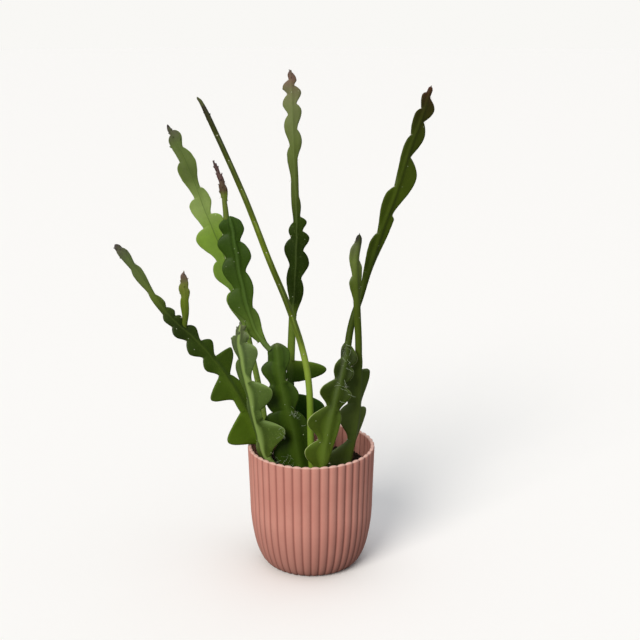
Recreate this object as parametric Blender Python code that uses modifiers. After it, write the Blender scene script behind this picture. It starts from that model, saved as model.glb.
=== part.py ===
# A potted ric rac cactus: a fluted pot with a rounded foot, the soil in it, and eight lobed stems.
# Tables are in millimetres and degrees. X runs to the right, Y away from the viewer and Z up,
# and the origin is the middle of the pot's foot.

import math

import bmesh
import bpy
import numpy as np
from mathutils import Vector

MM = 0.001

# The pot
RIM_RADIUS = 36.0
POT_HEIGHT = 70.0
WALL_FOOT_RADIUS = 35.0
ROUND_HEIGHT = 38.0
FOOT_RADIUS = 24.0
WALL = 2.3
FLUTES = 44
FLUTE_DEPTH = 0.95
STEPS_PER_FLUTE = 3
ROUND_STEPS = 5

# The soil
SOIL_LEVEL = 57.0
SOIL_GAP = 0.7
SOIL_STEPS = 28
SOIL_BUMP = 0.7
SOIL_WAVES = (5.3, 4.1, 3.1)
HOLE_GAP = 0.35
HOLE_EASE = 1.04
HOLE_TOP = 3.0
HOLE_SIDES = 14

# The stems
EDGE_HALF = 0.65
LOBE_SHAPE = (1.8, 0.75)
PATH_STEPS = 14
COLLAR = 1.5
LOBED_STEP = 2.3
LEAST_STEP = 0.9
PLAIN_STEP = 7.0
LOBED_REACH = 2.5
LEAST_REACH = 1.05
TIP_ROUND = 4.0
TIP_LEFT = 0.45
WING_FOOT = (0.68, 0.74)
STALK_EDGE = (0.95, 0.33)
BLADE_FOOT = (1.3, 1.2)
FOOT_OUT_MOST = 0.7
WING_GROWN = 1.2
TANGENT_STEP = 1.5
TOUCH = 1e-6

GREEN_DARK = (0.045, 0.105, 0.022, 1.0)
GREEN_MIDDLE = (0.075, 0.160, 0.025, 1.0)
GREEN_PALE = (0.150, 0.270, 0.050, 1.0)
PINK = (0.560, 0.225, 0.180, 1.0)
SOIL_BROWN = (0.030, 0.018, 0.012, 1.0)

# Each stem is a list of shoots, the first rooted in the soil and the others grown from it.
# A shoot's path is its centre line, root to tip. A rooted path starts at the bottom of its hole, its
# second point is at the soil, and distances along it count from there; on the others they count from
# the path's start. core is the midrib's radius, root and tip. turn swings the blade about its centre
# line, root and tip: at 0 it faces the viewer, and a positive turn brings its left edge forward.
# fold bends the left and the right half forward. left and right are the blade's two edges, as
# (distance along, reach from the centre line), where notches and lobe tips take turns. A lobe tip may
# carry its own shape: how hollow its rootward side is and how full its tipward side is.
STEMS = {
    "stem_far_left": dict(
        colour=GREEN_DARK,
        shoots=[
            dict(
                path=[
                    (-25, 3, 39), (-26, 3, 57), (-29, 1, 71), (-36, 0, 87), (-47, -4, 110), (-61, -8, 131),
                    (-78, -10, 149), (-97, -10, 178), (-104, -9, 186),
                ],
                core=(2.3, 1.2),
                turn=(35, 20),
                left=[
                    (13, 2.4), (25, 16.5, 2, 1.1), (37, 3), (53, 13, 3.2, 1.2), (62, 3.5), (71, 7), (77, 4.5),
                    (84, 8), (91, 4.5), (97, 6), (102, 3.5), (106, 3.5), (109, 2), (118, 2.2), (126, 1.6),
                    (139, 2.5), (144, 1.2), (151, 2.2), (154, 0.8),
                ],
                right=[
                    (8, 2.4), (22, 8), (27, 4), (44, 9), (48, 5), (69, 12.5), (72, 3), (80, 7), (84, 2.4),
                    (93, 5.2), (98, 2.6), (103, 4.8), (105, 3.6), (109, 4), (112, 2.8), (116, 3), (126, 1.6),
                    (136, 2.4), (142, 1.4), (147, 2.4), (154, 0.8),
                ],
            ),
            dict(
                path=[(-69, -8, 138), (-68, -9, 153), (-68, -9, 162), (-68, -10, 173)],
                core=(1.4, 0.8),
                turn=(0, 0),
                left=[(8, 1.5), (17, 2.6), (20, 2), (25, 3.2), (28, 2), (31, 2), (34, 0.8)],
                right=[(4, 1.5), (12, 2.2), (18, 1.9), (23, 2.9), (25, 2), (28, 2.2), (33, 0.8)],
            ),
        ],
    ),
    "stem_pale_back": dict(
        colour=GREEN_PALE,
        shoots=[
            dict(
                path=[
                    (-23, 11, 39), (-25, 12, 57), (-27, 13, 89), (-33, 16, 117), (-40, 18, 148),
                    (-49, 21, 175), (-59, 25, 199), (-69, 30, 225), (-80, 35, 246),
                ],
                core=(1.7, 1.1),
                turn=(0, 0),
                left=[
                    (78, 2), (95, 7.5), (100, 3.6), (112, 9.5), (119, 5.2), (134, 11.6), (139, 5), (152, 8),
                    (156, 3.4), (173, 7), (178, 3.6), (190, 4.3), (194, 1.3), (197, 1.6), (200, 0.8),
                ],
                right=[
                    (72, 2), (87, 6), (92, 3.5), (104, 8), (109, 5), (124, 9), (129, 5.5), (141, 7.6),
                    (145, 2.4), (153, 5.2), (161, 2), (176, 5, 3, 0.75), (185, 1.9), (192, 4.2), (196, 1),
                    (200, 0.8),
                ],
            ),
        ],
    ),
    "stem_front_left": dict(
        colour=GREEN_MIDDLE,
        shoots=[
            dict(
                path=[
                    (-17, -15, 39), (-18, -15, 57), (-24, -17, 68), (-28, -17, 81), (-34, -15, 110),
                    (-38, -11, 133), (-37, -9, 145),
                ],
                core=(2.2, 1.9),
                turn=(-12, -8),
                fold=(-40, -15),
                left=[
                    (9, 2.6), (21, 8.6), (27, 3.5), (40, 8), (48, 4), (65, 12), (72, 4), (81, 8), (86, 4),
                    (89, 4), (92, 1),
                ],
                right=[
                    (12, 4), (28, 14.2, 2, 0.8), (37, 3.8), (53, 11.8, 2, 0.6), (58, 4.5), (74, 8.6), (79, 4),
                    (85, 5.4), (92, 1),
                ],
            ),
        ],
    ),
    "stem_centre": dict(
        colour=GREEN_DARK,
        shoots=[
            dict(
                path=[
                    (-4, -14, 39), (-5, -14, 57), (-6, -14, 64), (-10, -13, 85), (-14, -12, 100),
                    (-17, -10, 114), (-18.5, -8, 132),
                ],
                core=(2.8, 2.5),
                turn=(0, 0),
                fold=(-12, -8),
                left=[
                    (4, 5), (15, 9), (20, 6.5), (38, 12), (46, 7.5), (50, 8), (56, 6), (63, 9.6), (69, 6),
                    (73, 6.3), (78, 1.4),
                ],
                right=[(4, 5), (18, 7), (29, 5.5), (46, 8.2), (55, 4.2), (70, 7.2), (78, 1.4)],
            ),
            dict(
                path=[
                    (-19, -8.5, 124), (-26.5, -7.2, 133), (-32, -5, 143), (-38, -1, 167), (-42, 3, 191),
                    (-44, 4, 200),
                ],
                core=(1.5, 1.8),
                turn=(0, 0),
                fold=(-10, -6),
                left=[
                    (14, 3), (25, 4.6), (30, 3.8), (41, 9), (45, 5.5), (54, 9.2), (60, 6.5), (68, 9.5),
                    (73, 6), (78, 7), (84, 1.2),
                ],
                right=[
                    (7, 1.6), (19, 3.4), (32, 2.2), (43, 5.5), (51, 3.2), (60, 7.6), (68, 3), (75, 6.2),
                    (83, 1.2),
                ],
            ),
            dict(
                path=[(-44, 4, 196), (-46, 4, 206), (-48, 5, 218), (-52, 6, 229)],
                core=(1.6, 0.8),
                turn=(0, 0),
                left=[(12, 1.7), (19, 2.1), (22, 1.5), (25, 1.8), (27, 1.1), (31, 1.2), (35, 0.6)],
                right=[(10, 1.8), (17, 2.8), (21, 2), (25, 2.4), (28, 1.5), (30, 1.6), (34, 0.6)],
            ),
        ],
    ),
    "stem_slim": dict(
        colour=GREEN_MIDDLE,
        step=3.4,
        shoots=[
            dict(
                path=[
                    (2, -20, 39), (1, -20, 57), (0, -19, 77), (-1, -14, 109), (-5, -9, 130),
                    (-13, -3, 153), (-23, 4, 176), (-37, 12, 211), (-57, 22, 254), (-62, 24, 262),
                ],
                core=(1.8, 1.2),
                turn=(86, 86),
                left=[
                    (70, 2), (86, 5), (92, 3), (104, 6.5), (110, 3.5), (123, 7), (129, 3.5), (141, 7),
                    (147, 3.5), (160, 6.5), (166, 3), (178, 5.5), (183, 2.6), (193, 4), (198, 2), (207, 3),
                    (218, 0.8),
                ],
                right=[
                    (78, 2), (95, 5.5), (101, 3.5), (114, 7), (119, 3.5), (132, 7), (138, 3.5), (150, 7),
                    (156, 3), (169, 6), (175, 3), (186, 4.5), (190, 2.3), (200, 3.5), (205, 1.6), (212, 2.2),
                    (218, 0.8),
                ],
            ),
        ],
    ),
    "stem_tall_back": dict(
        colour=GREEN_MIDDLE,
        shoots=[
            dict(
                path=[
                    (-8, 11, 39), (-9, 12, 57), (-12, 13, 92), (-11, 16, 129), (-9, 19, 164), (-8, 21, 192),
                    (-9, 24, 217), (-10, 28, 244), (-11, 33, 276),
                ],
                core=(2.1, 1.1),
                turn=(0, 0),
                left=[
                    (5, 3), (20, 10), (26, 4), (43, 11), (51, 2.2), (70, 2.2), (90, 2.3), (105, 4.8),
                    (112, 3.4), (122, 6.8), (128, 3.3), (132, 4.6), (137, 1.9), (148, 2.6), (160, 2.1),
                    (174, 3.8), (179, 2.1), (190, 4.8), (196, 2.4), (202, 5.2), (207, 2.4), (211, 4.9),
                    (215, 1.4), (218, 2), (221, 0.8),
                ],
                right=[
                    (14, 3), (28, 19.5, 3.5, 0.5), (37, 3), (53, 20.5, 3.8, 0.4), (58, 2.2), (70, 2.1),
                    (84, 2.1), (98, 5.3), (105, 3.6), (114, 7.6), (121, 4), (128, 7.2), (132, 3.4),
                    (137, 5.6), (140, 2.1), (146, 2.7), (151, 1.9), (161, 2.1), (171, 2), (182, 4.8),
                    (188, 2.5), (198, 5.2), (202, 2.6), (208, 5.3), (212, 1.6), (215, 2.9), (219, 0.8),
                ],
            ),
        ],
    ),
    "stem_right_upright": dict(
        colour=GREEN_DARK,
        shoots=[
            dict(
                path=[
                    (18, -6, 39), (20, -6, 57), (25, -6, 83), (27, -6, 100), (26.5, -7, 128), (25, -10, 154),
                    (24, -11, 174), (24.5, -11, 182), (26, -11, 193),
                ],
                core=(2.2, 1.2),
                turn=(30, 5),
                left=[
                    (3, 4), (12, 7.5), (18, 3), (34, 12), (40, 6), (56, 11), (66, 2.2), (79, 2.1), (100, 2),
                    (110, 3.8), (114, 2), (126, 4), (132, 1.8), (135, 1.8), (138, 0.8),
                ],
                right=[
                    (14, 3), (34.5, 6.5, 1.4, 0.5), (38, 2.3), (57, 6.3, 1.4, 0.4), (60, 2), (63, 2.5),
                    (67, 1.9), (80, 1.9), (100, 2.2), (117, 4), (123, 1.9), (131, 2.1), (138, 0.8),
                ],
            ),
        ],
    ),
    "stem_right_arching": dict(
        colour=GREEN_MIDDLE,
        shoots=[
            dict(
                path=[
                    (6, -25, 39), (6, -26, 57), (7, -27, 72), (9, -26, 85), (12, -24, 98), (16, -20, 113),
                    (19, -14, 125), (20, -10, 134),
                ],
                core=(2.4, 2.1),
                turn=(0, 0),
                fold=(8, 0),
                left=[
                    (6, 4), (18, 11.5, 1.8, 1), (24, 6.5), (34, 13, 1.8, 1.1), (44, 4.3), (51, 10.5, 1.8, 1),
                    (59, 3.6), (64, 5.8), (71, 2.8), (75, 3.4), (81, 1.2),
                ],
                right=[
                    (12, 3), (37, 5.5, 1.2, 0.7), (43, 3.4), (53, 7.5), (56, 3), (65, 6), (69, 3.2),
                    (74, 6.2), (81, 1.2),
                ],
            ),
            dict(
                path=[
                    (20, -11.5, 130), (21.5, -5, 138), (24, 1, 146), (27.5, 5, 155), (33, 9, 173),
                    (39, 12, 192), (46, 16, 210), (54, 23, 234), (60, 27, 249), (66, 32, 267),
                ],
                core=(1.9, 1.2),
                turn=(30, 20),
                left=[
                    (36, 1.8), (60, 4.2), (67, 1.8), (84, 4.6), (94, 2.1), (116, 3.8), (124, 2.4), (132, 4.1),
                    (140, 2.4), (146, 4), (150, 1.3), (152, 1.6), (155, 0.8),
                ],
                right=[
                    (40, 1.8), (77, 5.2), (79, 3.6), (104, 8.4), (114, 2.8), (128, 5.4), (136, 2.8),
                    (144, 5.2), (148, 1.4), (152, 2), (155, 0.8),
                ],
            ),
        ],
    ),
}


# Paths

def smooth_path(points):
    """Points of a Catmull-Rom curve through these ones, in millimetres, and how far along it each lies."""
    points = np.array(points, float)
    ends = [2 * points[0] - points[1], *points, 2 * points[-1] - points[-2]]
    samples = []
    for p0, p1, p2, p3 in zip(ends, ends[1:], ends[2:], ends[3:]):
        for t in np.linspace(0, 1, PATH_STEPS, endpoint=False):
            linear = (p2 - p0) * t
            square = (2 * p0 - 5 * p1 + 4 * p2 - p3) * t**2
            cube = (3 * p1 - 3 * p2 + p3 - p0) * t**3
            samples.append(0.5 * (2 * p1 + linear + square + cube))
    samples.append(ends[-2])
    samples = np.array(samples)
    steps = np.linalg.norm(np.diff(samples, axis=0), axis=1)
    return samples, np.concatenate([[0], np.cumsum(steps)])


def sample(path, along):
    samples, lengths = path
    return Vector([np.interp(along, lengths, samples[:, axis]) for axis in range(3)])


def point_on(path, along):
    point = sample(path, along)
    past = along - min(max(along, 0), path[1][-1])
    return point + direction_on(path, along) * past if past else point


def direction_on(path, along):
    span = 2 * TANGENT_STEP
    low = min(max(along - TANGENT_STEP, 0), path[1][-1] - span)
    return (sample(path, low + span) - sample(path, low)).normalized()


# Blades

def edge_reach(edge, along):
    """How far this edge lies from the centre line: it rises from a notch to a lobe's tip, then falls."""
    for i, (start, end) in enumerate(zip(edge, edge[1:])):
        if start[0] <= along <= end[0]:
            share = (along - start[0]) / (end[0] - start[0])
            notch, tip = (start, end) if i % 2 == 0 else (end, start)
            hollow, full = tip[2:] or LOBE_SHAPE
            if i % 2 == 0:
                height = math.sin(math.pi / 2 * share) ** hollow
            else:
                height = max(math.cos(math.pi / 2 * share), 0) ** full
            return notch[1] + (tip[1] - notch[1]) * height
    return 0


def blend(low, high, share):
    return low + (high - low) * min(max(share, 0), 1)


def half_section(core, reach):
    """A wing's outline from its midrib out: the foot and the edge, each as (distance, half thickness)."""
    share = (reach / core - 1) / WING_GROWN
    foot = (blend(WING_FOOT[0] * core, min(BLADE_FOOT[0] * core, reach * FOOT_OUT_MOST), share),
            blend(WING_FOOT[1] * core, BLADE_FOOT[1] * EDGE_HALF, share))
    edge = (blend(STALK_EDGE[0] * core, reach, share), blend(STALK_EDGE[1] * core, EDGE_HALF, share))
    return foot, edge


class Shoot:
    def __init__(self, table, rooted, step):
        self.path = smooth_path(table["path"])
        self.length = self.path[1][-1]
        self.soil = self.path[1][PATH_STEPS] if rooted else 0.0
        self.step = step
        self.core = table["core"]
        self.turn = table["turn"]
        self.fold = table.get("fold", (0, 0))
        self.sides = [self.counted(table["left"]), self.counted(table["right"])]

    def counted(self, edge):
        return [(along + self.soil, *rest) for along, *rest in edge]

    def core_at(self, along):
        return blend(*self.core, along / self.length) * self.closing(along)

    def closing(self, along):
        """The share of its width that the stem keeps in its round end."""
        left = min((self.length - along) / TIP_ROUND, 1)
        return TIP_LEFT + (1 - TIP_LEFT) * math.sqrt(1 - (1 - left) ** 2)

    def frame(self, along):
        """The blade's place, its left direction and its forward normal at this distance."""
        tangent = direction_on(self.path, along)
        left = tangent.cross(Vector((0, 1, 0))).normalized()
        forward = tangent.cross(left)
        turn = math.radians(blend(*self.turn, along / self.length))
        swung = left * math.cos(turn) + forward * math.sin(turn)
        return point_on(self.path, along), swung, tangent.cross(swung)

    def place(self, along, across, up):
        centre, left, forward = self.frame(along)
        return (centre + left * across + forward * up) * MM

    def ring(self, along):
        """The closed section round the midrib: the left wing, the front, the right wing and the back."""
        core = self.core_at(along)
        angles = [math.radians(self.fold[0]), math.pi - math.radians(self.fold[1])]
        points = []
        for side, angle in enumerate(angles):
            reach = edge_reach(self.sides[side], along) * self.closing(along)
            reach = max(reach, core * LEAST_REACH)
            (foot, foot_half), (edge, edge_half) = half_section(core, reach)
            out = (math.cos(angle), math.sin(angle))
            for distance, half in (
                (foot, -foot_half), (edge, -edge_half), (edge, edge_half), (foot, foot_half),
            ):
                across = out[0] * distance - out[1] * half
                up = out[1] * distance + out[0] * half
                points.append(self.place(along, across, up))
            middle = (angles[0] + angles[1]) / 2 + side * math.pi
            points.append(self.place(along, core * math.cos(middle), core * math.sin(middle)))
        return points

    def stations(self):
        """Distances of the rings: every notch and lobe tip, with even steps between them."""
        marks = {0.0, self.length, self.soil + COLLAR}
        for edge in self.sides:
            marks |= {mark[0] for mark in edge if 0 < mark[0] < self.length - LEAST_STEP}
        marks = sorted(marks)
        found = [0.0]
        for low, high in zip(marks, marks[1:]):
            lobed = any(edge_reach(edge, (low + high) / 2) > LOBED_REACH for edge in self.sides)
            count = max(1, round((high - low) / (self.step if lobed else PLAIN_STEP)))
            found += [low + (high - low) * share / count for share in range(1, count + 1)]
        kept = [self.length]
        for along in reversed(found[:-1]):
            if kept[-1] - along > LEAST_STEP or along == 0:
                kept.append(along)
        return kept[::-1]

    def mesh(self, name):
        return loft(name, [self.ring(along) for along in self.stations()])

    def hole(self, name):
        """A plain round bore for the root, a little wider than it."""
        rings = []
        in_soil = [along for along in self.stations() if 0 < along < self.soil + HOLE_TOP / 2]
        for along in (-HOLE_GAP, *in_soil, self.soil + HOLE_TOP):
            radius = self.core_at(max(along, 0)) * HOLE_EASE + HOLE_GAP
            turns = [math.tau * step / HOLE_SIDES for step in range(HOLE_SIDES)]
            rings.append([self.place(along, radius * math.cos(a), radius * math.sin(a)) for a in turns])
        return loft(name, rings)


def loft(name, rings):
    """A closed skin over sections with the same number of points, capped at both ends."""
    shape = bmesh.new()
    loops = [[shape.verts.new(point) for point in ring] for ring in rings]
    count = len(loops[0])
    for low, high in zip(loops, loops[1:]):
        for i in range(count):
            j = (i + 1) % count
            shape.faces.new((low[i], low[j], high[j], high[i]))
    shape.faces.new(loops[0][::-1])
    shape.faces.new(loops[-1])
    bmesh.ops.recalc_face_normals(shape, faces=shape.faces)
    return finished(name, shape)


# Objects and materials

def finished(name, shape):
    mesh = bpy.data.meshes.new(name)
    shape.to_mesh(mesh)
    shape.free()
    return bpy.data.objects.new(name, mesh)


def material(name, colour, roughness):
    made = bpy.data.materials.new(name)
    made.use_nodes = True
    shader = made.node_tree.nodes["Principled BSDF"]
    shader.inputs["Base Color"].default_value = colour
    shader.inputs["Roughness"].default_value = roughness
    shader.inputs["Metallic"].default_value = 0.0
    return made


def finish(obj, made, collection, sharp=40):
    obj.data.materials.clear()
    obj.data.materials.append(made)
    obj.data.shade_smooth()
    obj.data.set_sharp_from_angle(angle=math.radians(sharp))
    if obj.name not in collection.objects:
        collection.objects.link(obj)


def new_collection(name):
    made = bpy.data.collections.new(name)
    bpy.context.scene.collection.children.link(made)
    return made


# The pot and its soil

def wall_profile(inset=0.0):
    """The pot's outside from the rim down to its foot, as (radius, height), moved in along its normal."""
    points = [(RIM_RADIUS, POT_HEIGHT), (WALL_FOOT_RADIUS, ROUND_HEIGHT)]
    for step in range(1, ROUND_STEPS + 1):
        angle = math.pi / 2 * step / ROUND_STEPS
        points.append((
            FOOT_RADIUS + (WALL_FOOT_RADIUS - FOOT_RADIUS) * math.cos(angle),
            ROUND_HEIGHT * (1 - math.sin(angle)),
        ))
    moved = []
    for i, (radius, height) in enumerate(points):
        before, after = points[max(i - 1, 0)], points[min(i + 1, len(points) - 1)]
        slope = math.atan2(before[1] - after[1], before[0] - after[0])
        moved.append((radius - inset * math.sin(slope), height + inset * math.cos(slope)))
    return moved


def spun(profile, steps):
    """A profile of (radius, height) turned once about Z."""
    shape = bmesh.new()
    verts = [shape.verts.new((radius * MM, 0, height * MM)) for radius, height in profile]
    edges = [shape.edges.new(pair) for pair in zip(verts, verts[1:])]
    bmesh.ops.spin(
        shape, geom=verts + edges, axis=(0, 0, 1), cent=(0, 0, 0), angle=math.tau,
        steps=steps, use_merge=True,
    )
    bmesh.ops.remove_doubles(shape, verts=shape.verts, dist=TOUCH)
    bmesh.ops.recalc_face_normals(shape, faces=shape.faces)
    return shape


def flute_depth(turn):
    """How far the wall dips here: nothing on a flute's crest and all of it in the groove beside it."""
    across = abs(math.sin(FLUTES * turn / 2))
    return FLUTE_DEPTH * (1 - math.sqrt(max(1 - (1 - across) ** 2, 0)))


def make_pot():
    shape = spun([*wall_profile(), (0, 0)], FLUTES * STEPS_PER_FLUTE)
    for vert in shape.verts:
        radius = math.hypot(vert.co.x, vert.co.y)
        if radius > FOOT_RADIUS * MM / 2:
            dip = flute_depth(math.atan2(vert.co.y, vert.co.x)) / RIM_RADIUS
            vert.co.x *= 1 - dip
            vert.co.y *= 1 - dip
    if sum(face.normal.z for face in shape.faces) > 0:
        bmesh.ops.reverse_faces(shape, faces=shape.faces)
    pot = finished("pot", shape)
    wall = pot.modifiers.new("wall", "SOLIDIFY")
    wall.thickness = WALL * MM
    wall.offset = -1
    wall.use_even_offset = True
    return pot


def soil_bump(x, y):
    along_x, along_y, slanting = SOIL_WAVES
    return SOIL_BUMP * (math.sin(x / along_x) * math.cos(y / along_y) + 0.5 * math.sin((x + y) / slanting))


def make_soil(holes):
    side = wall_profile(WALL + FLUTE_DEPTH + SOIL_GAP)
    slope = (side[0][0] - side[1][0]) / (side[0][1] - side[1][1])
    top_radius = side[1][0] + slope * (SOIL_LEVEL - side[1][1])
    top = [(top_radius * share, SOIL_LEVEL) for share in (0, 0.25, 0.5, 0.75, 1)]
    bottom = (0, side[-1][1])
    shape = spun([*top, *side[1:], bottom], SOIL_STEPS)
    for vert in shape.verts:
        if abs(vert.co.z - SOIL_LEVEL * MM) < TOUCH:
            vert.co.z += soil_bump(vert.co.x / MM, vert.co.y / MM) * MM
    soil = finished("soil", shape)
    cut = soil.modifiers.new("root holes", "BOOLEAN")
    cut.operation = "DIFFERENCE"
    cut.operand_type = "COLLECTION"
    cut.collection = holes
    cut.solver = "EXACT"
    return soil


# The stems

def make_stem(name, table, holes):
    """The rooted shoot with the shoots grown from it, joined in one body, and the hole it stands in."""
    step = table.get("step", LOBED_STEP)
    shoots = [Shoot(shoot, i == 0, step) for i, shoot in enumerate(table["shoots"])]
    hole = shoots[0].hole(name + "_hole")
    hole.hide_render = True
    hole.display_type = "WIRE"
    holes.objects.link(hole)
    stem = shoots[0].mesh(name)
    if len(shoots) == 1:
        return stem
    bpy.context.scene.collection.objects.link(stem)
    grown = new_collection(name + "_grown")
    for i, shoot in enumerate(shoots[1:]):
        grown.objects.link(shoot.mesh(f"{name}_shoot_{i}"))
    join = stem.modifiers.new("grown together", "BOOLEAN")
    join.operation = "UNION"
    join.operand_type = "COLLECTION"
    join.collection = grown
    join.solver = "EXACT"
    graph = bpy.context.evaluated_depsgraph_get()
    mesh = bpy.data.meshes.new_from_object(stem.evaluated_get(graph))
    stem.modifiers.clear()
    stem.data = mesh
    bpy.context.scene.collection.objects.unlink(stem)
    for obj in list(grown.objects):
        bpy.data.objects.remove(obj)
    bpy.data.collections.remove(grown)
    return stem


def main():
    for obj in list(bpy.data.objects):
        bpy.data.objects.remove(obj)
    plant = new_collection("potted ric rac cactus")
    holes = new_collection("root holes")
    for name, table in STEMS.items():
        finish(make_stem(name, table, holes), material(name + " skin", table["colour"], 0.45), plant)
    finish(make_soil(holes), material("potting soil", SOIL_BROWN, 0.95), plant)
    finish(make_pot(), material("matt pink pot", PINK, 0.6), plant, sharp=35)


main()
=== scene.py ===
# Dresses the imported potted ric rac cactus: a finer pot, soil and stems round the same frame.
# Lengths in the dictionaries are millimetres and angles are degrees, unless a note says otherwise.
# A ramp is a list of (place, value), a noise is (scale per metre, detail, roughness where it isn't 0.5),
# and a bump is (strength, depth in metres).

import math
import random

import bmesh
import bpy
from mathutils import Matrix, Vector, noise


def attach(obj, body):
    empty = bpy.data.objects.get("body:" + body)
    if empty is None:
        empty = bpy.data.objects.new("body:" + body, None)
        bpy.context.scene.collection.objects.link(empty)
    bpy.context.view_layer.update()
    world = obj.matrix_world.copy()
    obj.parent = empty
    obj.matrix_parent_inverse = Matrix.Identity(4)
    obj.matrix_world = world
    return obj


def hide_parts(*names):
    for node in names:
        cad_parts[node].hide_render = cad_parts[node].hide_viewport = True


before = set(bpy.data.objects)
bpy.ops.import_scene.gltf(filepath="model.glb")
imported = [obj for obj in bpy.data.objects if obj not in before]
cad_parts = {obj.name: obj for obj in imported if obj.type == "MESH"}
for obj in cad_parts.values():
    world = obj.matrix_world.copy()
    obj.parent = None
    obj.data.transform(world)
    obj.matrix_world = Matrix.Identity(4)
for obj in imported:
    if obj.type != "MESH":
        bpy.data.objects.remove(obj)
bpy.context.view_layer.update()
mm = 0.001
slack = 0.001
print("frame loaded")


# Small helpers

def blend(low, high, share):
    return low + (high - low) * min(max(share, 0), 1)


def easeIn(share):
    share = min(max(share, 0), 1)
    return share * share * (3 - 2 * share)


def tone(red, green, blue):
    # screen colour, 0 to 255, as linear light for the shader sockets
    shares = [value / 255 for value in (red, green, blue)]
    return (*[s / 12.92 if s <= 0.04045 else ((s + 0.055) / 1.055) ** 2.4 for s in shares], 1.0)


def anyWay(draw, most, size=1.0):
    # a random vector in a cube of this half width
    return Vector([draw.uniform(-most, most) * size for _ in range(3)])


# Material helpers

def plainSurface(name, plan, colour=None):
    made = bpy.data.materials.new(name)
    made.use_nodes = True
    shader = made.node_tree.nodes["Principled BSDF"]
    shader.inputs["Base Color"].default_value = tone(*(colour or plan["tone"]))
    shader.inputs["Roughness"].default_value = plan["roughness"]
    shader.inputs["Specular IOR Level"].default_value = plan["specular"]
    return made, made.node_tree, shader


def addNode(tree, kind, **values):
    # values name input sockets, with underscores for spaces; a (node, output) pair is linked
    node = tree.nodes.new(kind)
    for key, value in values.items():
        if hasattr(node, key) and key not in node.inputs:
            setattr(node, key, value)
            continue
        numbered = key[0] == "i" and key[1:].isdigit()
        plug(tree, node.inputs[int(key[1:]) if numbered else key.replace("_", " ")], value)
    return node


def plug(tree, socket, value):
    if isinstance(value, tuple) and isinstance(value[0], bpy.types.Node):
        tree.links.new(value[0].outputs[value[1]], socket)
    elif isinstance(value, bpy.types.Node):
        tree.links.new(value.outputs[0], socket)
    else:
        socket.default_value = value


def placeOn(tree):
    return (addNode(tree, "ShaderNodeTexCoord"), "Object")


def clouds(tree, scale, detail, roughness=0.5):
    sizes = dict(Scale=scale, Detail=detail, Roughness=roughness)
    return (addNode(tree, "ShaderNodeTexNoise", Vector=placeOn(tree), **sizes), 0)


def cells(tree, scale):
    return addNode(tree, "ShaderNodeTexVoronoi", Vector=placeOn(tree), Scale=scale)


def layer(tree, name):
    return (addNode(tree, "ShaderNodeAttribute", attribute_name=name), "Fac")


def ramp(tree, source, stops):
    # stops are (place, colour or grey), in order
    node = tree.nodes.new("ShaderNodeValToRGB")
    plug(tree, node.inputs["Fac"], source)
    bar = node.color_ramp
    while len(bar.elements) < len(stops):
        bar.elements.new(1.0)
    for element, (place, colour) in zip(bar.elements, stops):
        element.position = place
        element.color = colour if isinstance(colour, tuple) else (colour, colour, colour, 1.0)
    return (node, 0)


def mixed(tree, factor, first, second, blendType="MIX"):
    # sockets 0, 6 and 7 are the factor and the two colours, and output 2 is the mixed colour
    node = tree.nodes.new("ShaderNodeMix")
    node.data_type = "RGBA"
    node.blend_type = blendType
    for socket, value in ((0, factor), (6, first), (7, second)):
        plug(tree, node.inputs[socket], value)
    return (node, 2)


def times(tree, first, second):
    return addNode(tree, "ShaderNodeMath", operation="MULTIPLY", i0=first, i1=second)


def roughen(tree, shader, *layers):
    # each layer is (height, strength, depth in metres), and lies on the one before it
    normal = {}
    for height, strength, depth in layers:
        bump = addNode(tree, "ShaderNodeBump", Strength=strength, Distance=depth, Height=height, **normal)
        normal = dict(Normal=bump)
    plug(tree, shader.inputs["Normal"], bump)


# Camera, light and floor

cameraPlan = dict(place=(5.0, -604.8, 308.2), pitchDown=15.3, lens=63.98, sensor=36.0)

floorPlan = dict(
    radius=9000, sides=96, tone=(251, 250, 248), bounceTone=(126, 124, 122), roughness=0.9, specular=0.1,
)

studio = dict(
    airTone=(250, 252, 255), airStrength=0.34, backdropTone=(251, 250, 247), backdropStrength=0.98,
    lights=[
        # name, direction that it comes from, strength, width of its disc in degrees, tone
        ("windowLeft", (-0.5, -0.86, 0.72), 2.35, 30, (255, 250, 243)),
        ("skyAbove", (0.1, 0.15, 1.0), 0.85, 60, (246, 250, 255)),
    ],
)


def makeCamera():
    lens = bpy.data.cameras.new("photoView")
    lens.lens = cameraPlan["lens"]
    lens.sensor_width = cameraPlan["sensor"]
    camera = bpy.data.objects.new("photoView", lens)
    camera.location = Vector(cameraPlan["place"]) * mm
    camera.rotation_euler = (math.radians(90 - cameraPlan["pitchDown"]), 0, 0)
    bpy.context.scene.collection.objects.link(camera)
    bpy.context.scene.camera = camera


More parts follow.
